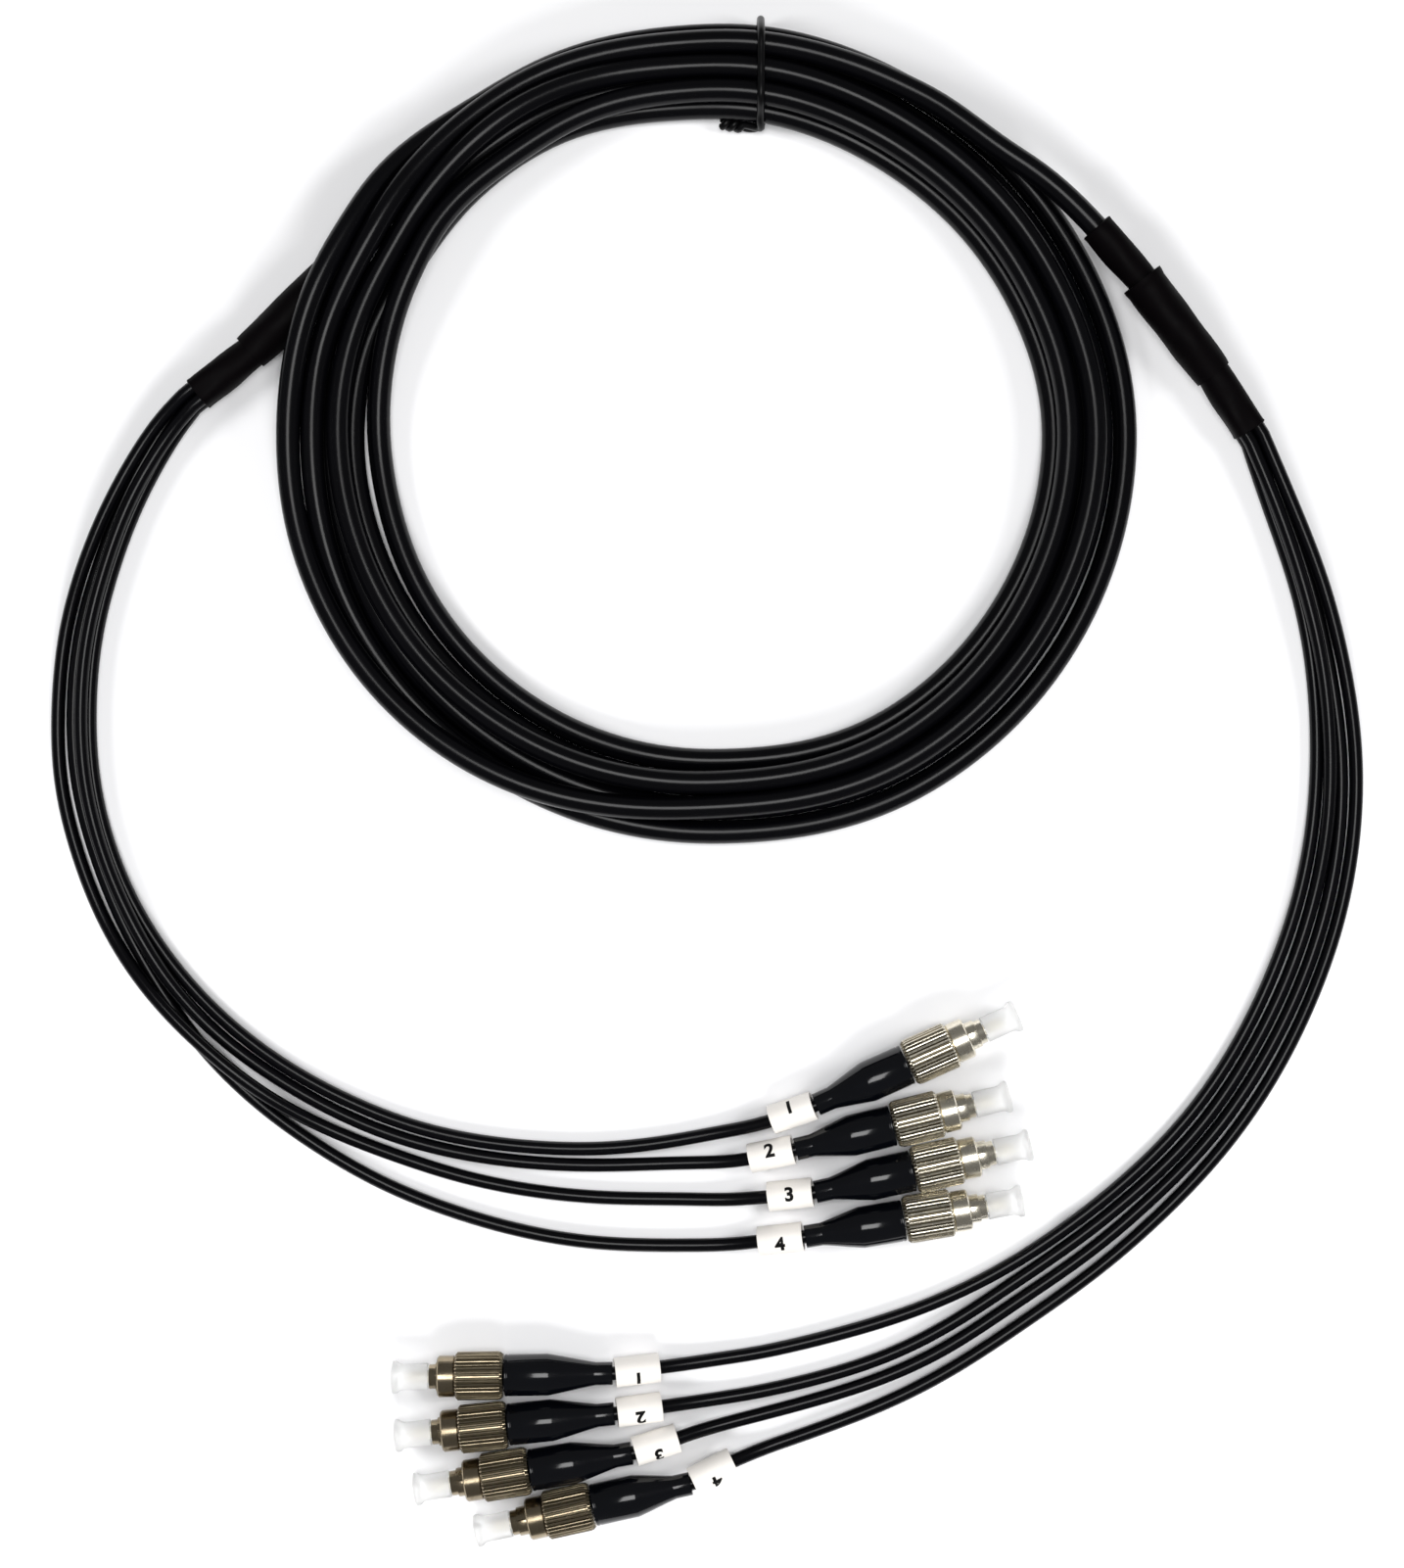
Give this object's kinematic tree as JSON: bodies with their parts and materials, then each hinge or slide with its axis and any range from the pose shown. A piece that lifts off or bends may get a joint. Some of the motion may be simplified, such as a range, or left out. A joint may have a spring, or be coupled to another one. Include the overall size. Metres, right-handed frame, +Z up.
{
  "type": "fibre breakout cable",
  "caption": "Coiled round fibre trunk cable split at both ends by heat-shrink breakouts into short legs with number markers, boots, screw-on connectors and dust caps.",
  "frame": {"origin": "centre of the whole cable as it lies, on the level surface under it", "axes": "+Z up; seen from above, +Y points from the connectors to the coil and +X to the right"},
  "size_m": [0.2782, 0.3222, 0.0137],
  "materials": {
    "jacket": "black extruded cable jacket, satin gloss",
    "heat_shrink": "matte black heat-shrink tube",
    "tie_wire": "black plastic-coated tie wire",
    "marker_white": "white printed marker sleeve",
    "boot_black": "glossy black moulded boot",
    "nickel": "nickel-plated brass, straight knurl on the nut's grip",
    "cap_plastic": "translucent white soft plastic"
  },
  "bodies": {
    "cable": {"trunk_coil": "jacket", "trunk_lead": "jacket", "coil_tie": "tie_wire", "left_trunk_sleeve": "heat_shrink", "left_breakout_sleeve": "heat_shrink", "left_leg_sleeve": "heat_shrink", "right_trunk_sleeve": "heat_shrink", "right_breakout_sleeve": "heat_shrink", "right_leg_sleeve": "heat_shrink", "leg_a1": "jacket", "leg_a2": "jacket", "leg_a3": "jacket", "leg_a4": "jacket", "leg_b1": "jacket", "leg_b2": "jacket", "leg_b3": "jacket", "leg_b4": "jacket", "marker_a1": "marker_white", "marker_a2": "marker_white", "marker_a3": "marker_white", "marker_a4": "marker_white", "marker_b1": "marker_white", "marker_b2": "marker_white", "marker_b3": "marker_white", "marker_b4": "marker_white", "boot_a1": "boot_black", "boot_a2": "boot_black", "boot_a3": "boot_black", "boot_a4": "boot_black", "boot_b1": "boot_black", "boot_b2": "boot_black", "boot_b3": "boot_black", "boot_b4": "boot_black", "connector_body_a1": "nickel", "connector_body_a2": "nickel", "connector_body_a3": "nickel", "connector_body_a4": "nickel", "connector_body_b1": "nickel", "connector_body_b2": "nickel", "connector_body_b3": "nickel", "connector_body_b4": "nickel"},
    "nut_a1": {"coupling_nut_a1": "nickel"},
    "nut_a2": {"coupling_nut_a2": "nickel"},
    "nut_a3": {"coupling_nut_a3": "nickel"},
    "nut_a4": {"coupling_nut_a4": "nickel"},
    "nut_b1": {"coupling_nut_b1": "nickel"},
    "nut_b2": {"coupling_nut_b2": "nickel"},
    "nut_b3": {"coupling_nut_b3": "nickel"},
    "nut_b4": {"coupling_nut_b4": "nickel"},
    "cap_a1": {"dust_cap_a1": "cap_plastic"},
    "cap_a2": {"dust_cap_a2": "cap_plastic"},
    "cap_a3": {"dust_cap_a3": "cap_plastic"},
    "cap_a4": {"dust_cap_a4": "cap_plastic"},
    "cap_b1": {"dust_cap_b1": "cap_plastic"},
    "cap_b2": {"dust_cap_b2": "cap_plastic"},
    "cap_b3": {"dust_cap_b3": "cap_plastic"},
    "cap_b4": {"dust_cap_b4": "cap_plastic"}
  },
  "joints": [
    {"name": "nut_a1_spin", "type": "hinge", "parent": "cable", "child": "nut_a1", "pos_m": [0.04246, -0.05934, 0.005], "axis": [0.9135, 0.4067, 0], "continuous": true},
    {"name": "nut_a2_spin", "type": "hinge", "parent": "cable", "child": "nut_a2", "pos_m": [0.03937, -0.07225, 0.005], "axis": [0.9703, 0.2419, 0], "continuous": true},
    {"name": "nut_a3_spin", "type": "hinge", "parent": "cable", "child": "nut_a3", "pos_m": [0.0436, -0.08179, 0.005], "axis": [0.9763, 0.2164, 0], "continuous": true},
    {"name": "nut_a4_spin", "type": "hinge", "parent": "cable", "child": "nut_a4", "pos_m": [0.04171, -0.09228, 0.005], "axis": [0.9863, 0.165, 0], "continuous": true},
    {"name": "nut_b1_spin", "type": "hinge", "parent": "cable", "child": "nut_b1", "pos_m": [-0.0429, -0.125, 0.005], "axis": [-0.9998, -0.0175, 0], "continuous": true},
    {"name": "nut_b2_spin", "type": "hinge", "parent": "cable", "child": "nut_b2", "pos_m": [-0.04208, -0.13539, 0.005], "axis": [-0.9949, -0.1011, 0], "continuous": true},
    {"name": "nut_b3_spin", "type": "hinge", "parent": "cable", "child": "nut_b3", "pos_m": [-0.0374, -0.14501, 0.005], "axis": [-0.9863, -0.165, 0], "continuous": true},
    {"name": "nut_b4_spin", "type": "hinge", "parent": "cable", "child": "nut_b4", "pos_m": [-0.0242, -0.15241, 0.005], "axis": [-0.9763, -0.2164, 0], "continuous": true},
    {"name": "cap_a1_pull", "type": "slide", "parent": "cable", "child": "cap_a1", "axis": [0.9135, 0.4067, 0], "range_m": [0, 0.012]},
    {"name": "cap_a2_pull", "type": "slide", "parent": "cable", "child": "cap_a2", "axis": [0.9703, 0.2419, 0], "range_m": [0, 0.012]},
    {"name": "cap_a3_pull", "type": "slide", "parent": "cable", "child": "cap_a3", "axis": [0.9763, 0.2164, 0], "range_m": [0, 0.012]},
    {"name": "cap_a4_pull", "type": "slide", "parent": "cable", "child": "cap_a4", "axis": [0.9863, 0.165, 0], "range_m": [0, 0.012]},
    {"name": "cap_b1_pull", "type": "slide", "parent": "cable", "child": "cap_b1", "axis": [-0.9998, -0.0175, 0], "range_m": [0, 0.012]},
    {"name": "cap_b2_pull", "type": "slide", "parent": "cable", "child": "cap_b2", "axis": [-0.9949, -0.1011, 0], "range_m": [0, 0.012]},
    {"name": "cap_b3_pull", "type": "slide", "parent": "cable", "child": "cap_b3", "axis": [-0.9863, -0.165, 0], "range_m": [0, 0.012]},
    {"name": "cap_b4_pull", "type": "slide", "parent": "cable", "child": "cap_b4", "axis": [-0.9763, -0.2164, 0], "range_m": [0, 0.012]}
  ]
}
